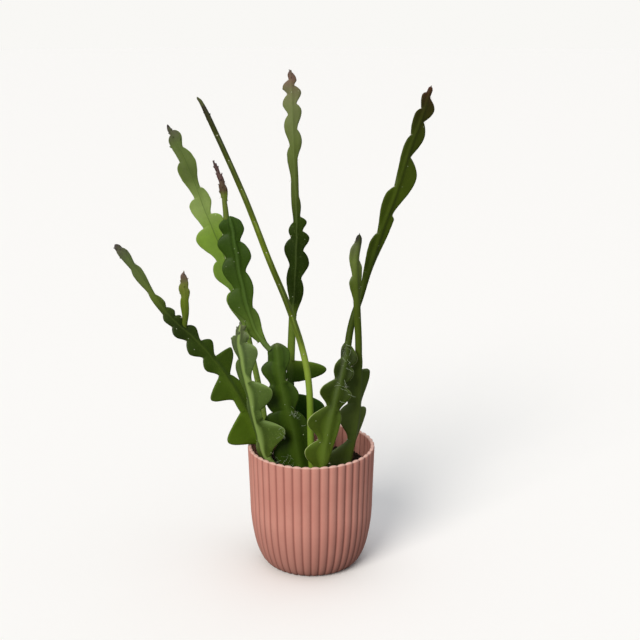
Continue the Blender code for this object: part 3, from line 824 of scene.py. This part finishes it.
stemCentre = dict(node="stem_centre", seed=4, shoots=[
    dict(
        path=[(-4, -14, 39), (-5, -14, 57), (-6, -14, 64), (-10, -13, 85), (-14, -12, 100),
            (-17, -10, 114), (-18.5, -8, 132)],
        core=(2.8, 2.5), cup=(1.6, 1.5),
        tones=[(0, (58, 84, 16)), (20, (46, 68, 8)), (50, (56, 80, 16)), (74, (70, 96, 32)),
            (78, (108, 118, 76))],
        ridge=((86, 110, 34), 0.32, 0.36), creaseShade=0.3,
        webs=[(3, 13, 0.02, 0.35, 20, 4.5), (35, 40, 0.66, 0.84, 15, 2.4), (28, 35, 0.7, 0.95, 5, 3)],
        margin=((92, 104, 56), 0.35), turn=(0, 0), fold=(-12, -8),
        left=[(2, 9), (14, 13.6), (21, 8.4), (34.5, 14.6, 1.8, 0.4), (39, 9), (45.5, 10.6, 0.8, 0.8),
            (54, 6.6), (62.5, 9.8), (66.5, 6), (71, 5.6), (78, 1.4)],
        right=[(3, 5), (27, 8.6, 1.2, 0.5), (36.5, 3.2), (46.5, 8, 1.3, 0.8), (55, 2.9),
            (69.5, 6.6, 2.4, 0.8), (78, 1.4)],
    ),
    dict(
        path=[(-22.2, -8, 127.8), (-26.5, -7.2, 133), (-32, -5, 143), (-38, -1, 167), (-42, 3, 191),
            (-44, 4, 200)],
        core=(1.5, 1.8), cup=(1.8, 1.6),
        tones=[(0, (104, 126, 66)), (10, (98, 124, 46)), (29, (66, 92, 24)), (55, (52, 78, 11)),
            (79, (54, 82, 17))],
        ridge=((98, 128, 62), 0.24, 0.14), creaseShade=0.3, margin=((72, 92, 48), 0.3), turn=(0, 0),
        fold=(-10, -6),
        left=[(7, 3), (14, 4.2), (20, 3.6), (31.5, 9.8, 1.3, 0.6), (38, 5.5), (49, 9.2), (55, 6.5),
            (63, 9.5), (68, 6), (73, 7), (79, 1.2)],
        right=[(3, 1.6), (20, 4.6), (26, 2.6), (38, 5.5), (46, 3.2), (55, 7.6), (63, 3), (70, 6.2),
            (78, 1.2)],
    ),
    dict(
        path=[(-45.8, 5, 198), (-46.4, 4.5, 206), (-48, 5, 218), (-52, 6, 229)],
        core=(1.6, 0.55), cup=(0.1, 0.1),
        tones=[(0, (104, 128, 40)), (13, (108, 128, 44)), (16, (92, 76, 54)), (24, (102, 78, 74)),
            (35, (82, 64, 68))],
        scales=(15, 34, 24, 0.8), ridge=((126, 120, 84), 0.2, 0.2), margin=((128, 96, 90), 0.4),
        turn=(0, 0),
        left=[(12, 1.6), (18, 2), (20, 1.2), (24, 1.4), (26, 0.9), (30, 1), (35, 0.5)],
        right=[(10, 1.7), (16, 2.5), (19, 1.6), (22, 1.8), (25, 1), (28, 1.2), (34, 0.5)],
    ),
])

stemSlim = dict(node="stem_slim", seed=5, shoots=[
    dict(
        path=[(2, -20, 39), (1, -20, 57), (0, -19, 77), (-1, -14, 109), (-5, -9, 130), (-13, -3, 153),
            (-23, 4, 176), (-37, 12, 211), (-57, 22, 254), (-62, 24, 262)],
        core=(2.0, 1.4), cup=(0, 0), wave=0.1,
        tones=[(0, (128, 160, 50)), (40, (124, 156, 46)), (70, (150, 174, 66)), (84, (108, 130, 32)),
            (108, (82, 98, 16)), (134, (130, 152, 32)), (156, (104, 122, 28)), (190, (72, 82, 26)),
            (210, (60, 60, 30)), (218, (54, 48, 38))],
        scales=(204, 217, 7, 0.6), ridge=((126, 146, 60), 0.2, 0.3), margin=((96, 110, 60), 0.4),
        turn=(91, 102),
        left=[(70, 2), (86, 5), (92, 3), (104, 6.5), (110, 3.5), (123, 7), (129, 3.5), (141, 7),
            (147, 3.5), (160, 6.5), (166, 3), (178, 5.5), (183, 2.6), (193, 4), (198, 2), (207, 3),
            (218, 0.8)],
        right=[(78, 2), (95, 5.5), (101, 3.5), (114, 7), (119, 3.5), (132, 7), (138, 3.5), (150, 7),
            (156, 3), (169, 6), (175, 3), (186, 4.5), (190, 2.3), (200, 3.5), (205, 1.6), (212, 2.2),
            (218, 0.8)],
    ),
])

stemTallBack = dict(node="stem_tall_back", seed=6, shoots=[
    dict(
        path=[(-8, 11, 39), (-9, 12, 57), (-12, 13, 92), (-11, 16, 129), (-9, 19, 164), (-8, 21, 192),
            (-9, 24, 217), (-10, 28, 244), (-11, 33, 276)],
        core=(2.1, 1.1), cup=(-1.0, -1.6),
        tones=[(0, (44, 74, 14)), (32, (48, 84, 18)), (52, (70, 100, 22)), (62, (122, 150, 46)),
            (84, (100, 124, 34)), (92, (46, 66, 5)), (122, (38, 56, 5)), (138, (50, 70, 10)),
            (150, (80, 94, 35)), (176, (101, 117, 54)), (200, (124, 135, 83)), (210, (126, 124, 88)),
            (215, (128, 102, 86)), (221, (98, 76, 72))],
        scales=(210, 220, 6, 0.7), ridge=((122, 140, 78), 0.2, 0.12), margin=((96, 108, 64), 0.3),
        turn=(0, 0),
        left=[(5, 3), (20, 10), (26, 4), (43, 11), (51, 2.2), (70, 2.2), (90, 2.3), (105, 4.8),
            (112, 3.4), (122, 6.8), (128, 3.3), (132, 4.6), (137, 1.9), (148, 2.6), (160, 2.1),
            (174, 3.8), (179, 2.1), (190, 4.8), (196, 2.4), (202, 5.2), (207, 2.4), (211, 4.9),
            (215, 1.4), (218, 2), (221, 0.8)],
        right=[(14, 3), (28, 19.5, 3.0, 0.55), (38.5, 2.6), (45, 2.3), (45.5, 2.2), (53, 20.6, 0.65, 0.4),
            (58, 2.2), (70, 2.1), (84, 2.1), (98, 5.3), (105, 3.6), (114, 7.6), (121, 4), (128, 7.2),
            (132, 3.4), (137, 5.6), (140, 2.1), (146, 2.7), (151, 1.9), (161, 2.1), (171, 2), (182, 4.8),
            (188, 2.5), (198, 5.2), (202, 2.6), (208, 5.3), (212, 1.6), (215, 2.9), (219, 0.8)],
    ),
])

stemRightUpright = dict(node="stem_right_upright", seed=7, shoots=[
    dict(
        path=[(18, -6, 39), (20, -6, 57), (24.6, -6, 83), (26, -6, 100), (26.3, -7, 128), (25, -10, 154),
            (24, -11, 174), (24.5, -11, 182), (26, -11, 193)],
        core=(2.2, 1.2), cup=(1.2, 1.0),
        tones=[(0, (92, 110, 60)), (12, (92, 114, 44)), (34, (90, 108, 46)), (58, (66, 86, 24)),
            (66, (76, 94, 20)), (92, (78, 96, 19)), (108, (88, 106, 34)), (122, (116, 134, 66)),
            (130, (104, 114, 70)), (134, (64, 64, 50)), (138, (42, 40, 40))],
        scales=(132, 137, 3, 0.45), ridge=((90, 108, 40), 0.35, 0.35), topSheen=((108, 120, 84), 0.5),
        margin=((96, 106, 74), 0.4), turn=(30, 5), fold=(0, -30),
        left=[(0, 12), (5.5, 17, 1, 1.6), (18, 3.2), (34, 12), (40, 6), (56, 11), (66, 2.2), (79, 2.1),
            (100, 2), (110, 3.8), (114, 2), (126, 4), (132, 1.8), (135, 1.8), (138, 0.8)],
        right=[(14, 3), (34.4, 7.4, 1.3, 0.22), (37, 2.3), (56.8, 8.4, 1.3, 0.2), (59, 2), (63, 2.5),
            (67, 1.9), (80, 1.9), (100, 2.2), (117, 4), (123, 1.9), (131, 2.1), (138, 0.8)],
    ),
])

stemRightArching = dict(node="stem_right_arching", seed=8, shoots=[
    dict(
        path=[(6, -25, 39), (6, -26, 57), (7, -27, 72), (9, -26, 85), (12, -24, 98), (16, -20, 113),
            (19, -14, 125), (20, -10, 134)],
        core=(2.4, 2.1), cup=(2.2, 1.4),
        tones=[(0, (92, 114, 33)), (24, (86, 108, 27)), (46, (60, 78, 15)), (64, (46, 60, 13)),
            (81, (48, 60, 17))],
        ridge=((98, 120, 48), 0.28, 0.34), creaseShade=0.25, topSheen=((98, 118, 52), 0.35),
        webs=[(66, 80, 0.15, 0.9, 12, 3.6), (46, 66, 0.55, 1, 9, 4.5)], margin=((188, 198, 136), 0.75),
        turn=(0, 0), fold=(8, 0),
        left=[(5, 3.4), (19, 11.4, 2.6, 1.1), (25, 4.8), (34, 13, 2.2, 1.1), (44, 4.3),
            (51, 10.5, 1.8, 1), (59, 3.6), (64, 5.8), (71, 2.8), (75, 3.4), (81, 1.2)],
        right=[(12, 3), (37, 5.5, 1.2, 0.7), (43, 3.4), (53, 7.5), (56, 3), (64, 6), (67.5, 3.6),
            (71.5, 6.4, 1.3, 1.5), (81, 1.2)],
    ),
    dict(
        path=[(20, -11.5, 130), (21.5, -5, 138), (24, 1, 146), (27.5, 5, 155), (33, 9, 173),
            (39, 12, 192), (46, 16, 210), (54, 23, 234), (60, 27, 249), (66, 32, 267)],
        core=(1.9, 1.2), cup=(1.2, 1.2),
        tones=[(0, (54, 70, 10)), (40, (62, 79, 12)), (90, (70, 88, 13)), (124, (60, 72, 10)),
            (142, (56, 52, 13)), (149, (72, 46, 26)), (155, (88, 54, 42))],
        scales=(149, 153.5, 4, 0.45), ridge=((78, 92, 24), 0.12, 0.4), margin=((84, 88, 48), 0.35),
        turn=(30, 20),
        left=[(36, 1.8), (60.5, 5, 1.4, 0.75), (67, 1.8), (86.5, 6.2, 1.5, 0.75), (94, 1.8),
            (117, 4, 1.3, 0.75), (124, 2), (134.5, 4.9, 0.8, 0.6), (139.6, 1.6), (146, 3.9, 0.9, 0.45),
            (149, 1.4), (152, 1.6), (154.5, 1.3)],
        right=[(40, 1.8), (77, 5.2), (79, 3.6), (102, 9.4), (112.5, 2.5), (125, 6, 1, 0.8), (133.2, 2.4),
            (141, 6.1, 1, 0.9), (147, 1.5), (152, 1.8), (154.5, 1.3)],
    ),
])


# Making a stem from its table

scalePlan = dict(
    columnStep=23, lean=(0.25, 0.6), flat=(0.62, 0.4), size=(0.8, 1.2), standOut=0.35, outShare=0.5,
)


def addShoot(shape, layers, shoot, index):
    places = ringPlaces(shoot)
    rings = [skinRing(shoot, along) for along in places]
    columns, rows = stemPlan["columns"], len(rings) - 1
    grid = bmesh.ops.create_grid(shape, x_segments=columns, y_segments=rows, size=0.5)["verts"]
    seam = []
    for vert in grid:
        column = round((vert.co.x + 0.5) * columns)
        row = round((vert.co.y + 0.5) * rows)
        place, out, upward = rings[row][column % columns]
        vert.co = place
        vert[layers["along"]] = places[row] / shoot["length"]
        vert[layers["out"]] = out
        vert[layers["upward"]] = upward
        if column % columns == 0:
            seam.append(vert)
    bmesh.ops.remove_doubles(shape, verts=seam, dist=slack * mm)
    skin = [vert for vert in grid if vert.is_valid]
    ends = {edge for vert in skin for edge in vert.link_edges if edge.is_boundary}
    bmesh.ops.holes_fill(shape, edges=list(ends), sides=0)
    paint(skin, index)


def addScales(shape, layers, shoot, index):
    # small overlapping scales round a young tip, in the colours of the skin under them
    plan = scalePlan
    first, last, count, size = shoot["scales"]
    draw = random.Random(shoot["node"] + str(index))
    for i in range(count):
        along = blend(first, last, i / (count - 1)) + shoot["soilAt"]
        place, *_ = skinRing(shoot, along)[i * plan["columnStep"] % stemPlan["columns"]]
        outward = (place - pointAt(shoot["path"], along) * mm).normalized()
        length = size * draw.uniform(*plan["size"])
        heading = (directionAt(shoot["path"], along) + outward * draw.uniform(*plan["lean"])).normalized()
        thin = (outward - heading * outward.dot(heading)).normalized()
        turned = Matrix((heading.cross(thin), thin, heading)).transposed().to_4x4()
        at = place + heading * length * plan["standOut"] * mm
        scale = addBall(shape, length, at, turned, (*plan["flat"], 1), 1)
        for vert in scale:
            reached = (vert.co - place).dot(heading) / mm
            vert[layers["along"]] = (along + reached) / shoot["length"]
            vert[layers["out"]] = plan["outShare"]
        paint(scale, index)


def makeStem(name, plan):
    shape = bmesh.new()
    layers = {key: shape.verts.layers.float.new(key) for key in ("along", "out", "upward")}
    surfaces = []
    shoots = []
    for i, table in enumerate(plan["shoots"]):
        seed = plan["seed"] + stemPlan["seedStep"] * i
        shoot = readShoot(dict(table, node=plan["node"], seed=seed), i == 0)
        addShoot(shape, layers, shoot, i)
        if "scales" in shoot:
            addScales(shape, layers, shoot, i)
        surfaces.append(skinSurface(f"{name}Skin{i}", shoot))
        shoots.append(shoot)
    settle(shape, name, surfaces, [plan["node"]])
    return shoots


skinPlan = dict(
    roughness=0.5, specular=0.13, shine=[(0.3, 0.42), (0.7, 0.56)],
    clouds=(95.0, 6.0, 0.6), shade=[(0.32, 0.80), (0.68, 1.0)],
    # the ridge's tint as shares of its width and strength, and where the painted crease shade is darkest
    # and ends
    ridgeCrest=(0.4, 0.9), creaseShadeAt=(1.35, 2.3), sheenAt=(0.04, 0.5), marginAt=(0.965, 0.992),
    pores=(1500.0, 2.0), flecks=[(0.60, 0.0), (0.72, 0.22)],
    dustScale=290.0, specks=[(0.05, 0.8), (0.09, 0.0)], chosen=[(0.66, 0.0), (0.68, 1.0)],
    dustTone=(196, 206, 172), swells=(330.0, 4.0), swellBump=(0.28, 0.0004), poreBump=(0.10, 0.0001),
    subsurfaceWeight=0.12, subsurfaceRadius=(0.6, 1.0, 0.25), subsurfaceScale=0.0012,
)


def skinSurface(name, shoot):
    plan = skinPlan
    stops = []
    for where, colour in shoot["tones"]:
        share = (where + shoot["soilAt"]) / shoot["length"]
        stops.append((min(max(share, 0), 1), tone(*colour)))
    made, tree, shader = plainSurface(name, plan, shoot["tones"][0][1])
    out = layer(tree, "out")
    cloud = clouds(tree, *plan["clouds"])
    base = ramp(tree, layer(tree, "along"), stops)
    coloured = mixed(tree, 1.0, base, ramp(tree, cloud, plan["shade"]), "MULTIPLY")
    ridgeTone, ridgeShare, ridgeWidth = shoot["ridge"]
    crest = (ridgeWidth * plan["ridgeCrest"][0], ridgeShare * plan["ridgeCrest"][1])
    ridge = ramp(tree, out, [(0.0, ridgeShare), crest, (ridgeWidth, 0.0)])
    coloured = mixed(tree, ridge, coloured, tone(*ridgeTone))
    # painted shade: the skin beside the midrib is darkened where shade falls between the wings
    darkest, creaseShadeEnd = [ridgeWidth * share for share in plan["creaseShadeAt"]]
    creaseShade = 1 - shoot.get("creaseShade", 0)
    shadow = ramp(tree, out, [(ridgeWidth, 1.0), (darkest, creaseShade), (creaseShadeEnd, 1.0)])
    coloured = mixed(tree, 1.0, coloured, shadow, "MULTIPLY")
    # painted highlight: a paler tint on the side of the lobes that faces up, where the light falls
    if "topSheen" in shoot:
        sheenTone, sheenShare = shoot["topSheen"]
        face = ramp(tree, layer(tree, "upward"), list(zip(plan["sheenAt"], (0.0, sheenShare))))
        coloured = mixed(tree, face, coloured, tone(*sheenTone))
    # the margin tint is partly the edge's own colour and, where it is pale, a painted highlight along the
    # edge
    marginTone, marginShare, marginStart = (*shoot["margin"], plan["marginAt"][0])[:3]
    margin = ramp(tree, out, [(marginStart, 0.0), (plan["marginAt"][1], marginShare)])
    coloured = mixed(tree, margin, coloured, tone(*marginTone))
    pore = clouds(tree, *plan["pores"])
    coloured = mixed(tree, ramp(tree, pore, plan["flecks"]), coloured, tone(*ridgeTone))
    dust = cells(tree, plan["dustScale"])
    speck = ramp(tree, (dust, "Distance"), plan["specks"])
    chosen = ramp(tree, (dust, "Color"), plan["chosen"])
    coloured = mixed(tree, times(tree, speck, chosen), coloured, tone(*plan["dustTone"]))
    plug(tree, shader.inputs["Base Color"], coloured)
    plug(tree, shader.inputs["Roughness"], ramp(tree, cloud, plan["shine"]))
    for value in ("Weight", "Radius", "Scale"):
        shader.inputs["Subsurface " + value].default_value = plan["subsurface" + value]
    swell = clouds(tree, *plan["swells"])
    roughen(tree, shader, (swell, *plan["swellBump"]), (pore, *plan["poreBump"]))
    return made


# The woolly areoles in the notches

areolePlan = dict(
    seed=11, aboveNotch=0.25, clearOfSoil=2, clearOfTip=5,
    cushion=0.34, cushionSize=(0.7, 1.2), cushionShape=(1.2, 0.9, 0.55),
    tone=(205, 200, 178), roughness=0.9, specular=0.5,
    hairs=(2, 5), hairLength=(0.5, 1.5), hairRadius=0.045, hairSides=3, hairRoot=0.1, hairLean=0.7,
    # how far along a hair its middle knot lies, and the share of the bend that it takes
    hairBend=0.25, hairMiddle=(0.5, 0.3),
)


def edgeSpot(shoot, along, side):
    # the blade's margin here and the direction straight out of it
    ring = skinRing(shoot, along)
    spot = ring[0 if side == 0 else stemPlan["columns"] // 2][0]
    centre = bladeFrame(shoot, along)[0] * mm
    return spot, (spot - centre).normalized()


def growTuft(shape, draw, spot, outward):
    # a small flat cushion with a few short hairs
    plan = areolePlan
    size = plan["cushion"] * draw.uniform(*plan["cushionSize"])
    turned = outward.to_track_quat("Z", "Y").to_matrix().to_4x4()
    addBall(shape, size, spot, turned, plan["cushionShape"])
    halfway, bendShare = plan["hairMiddle"]
    for _ in range(draw.randint(*plan["hairs"])):
        heading = (outward + anyWay(draw, plan["hairLean"])).normalized()
        length = draw.uniform(*plan["hairLength"])
        start = spot / mm - outward * plan["hairRoot"]
        bend = anyWay(draw, plan["hairBend"]) * length
        middle = start + heading * length * halfway + bend * bendShare
        points = [start, middle, start + heading * length + bend]
        thread(shape, points, plan["hairRadius"], plan["hairSides"])


def makeAreoles(everyShoot):
    plan = areolePlan
    draw = random.Random(plan["seed"])
    shape = bmesh.new()
    for shoot in everyShoot:
        lowest = shoot["soilAt"] + plan["clearOfSoil"]
        highest = shoot["length"] - plan["clearOfTip"]
        for side, edge in enumerate(shoot["edges"]):
            for along, *_ in edge[0:-1:2]:
                if lowest <= along <= highest:
                    growTuft(shape, draw, *edgeSpot(shoot, along + plan["aboveNotch"], side))
    settle(shape, "areoleWool", [plainSurface("areoleWool", plan)[0]])


# Everything in turn

makeCamera()
makeStudio()
print("camera, light and floor set")
makePot()
soilRadius = makeSoil()
everyShoot = []
for name, plan in [
    ("stemFarLeft", stemFarLeft), ("stemPaleBack", stemPaleBack), ("stemFrontLeft", stemFrontLeft),
    ("stemCentre", stemCentre), ("stemSlim", stemSlim), ("stemTallBack", stemTallBack),
    ("stemRightUpright", stemRightUpright), ("stemRightArching", stemRightArching),
]:
    everyShoot += makeStem(name, plan)
rooted = [shoot for shoot in everyShoot if shoot["soilAt"] > 0]
stemFeet = [(pointAt(shoot["path"], shoot["soilAt"]), shoot["core"][0]) for shoot in rooted]
makeCrumbs(soilRadius, stemFeet)
makeFibres(everyShoot)
makeAreoles(everyShoot)
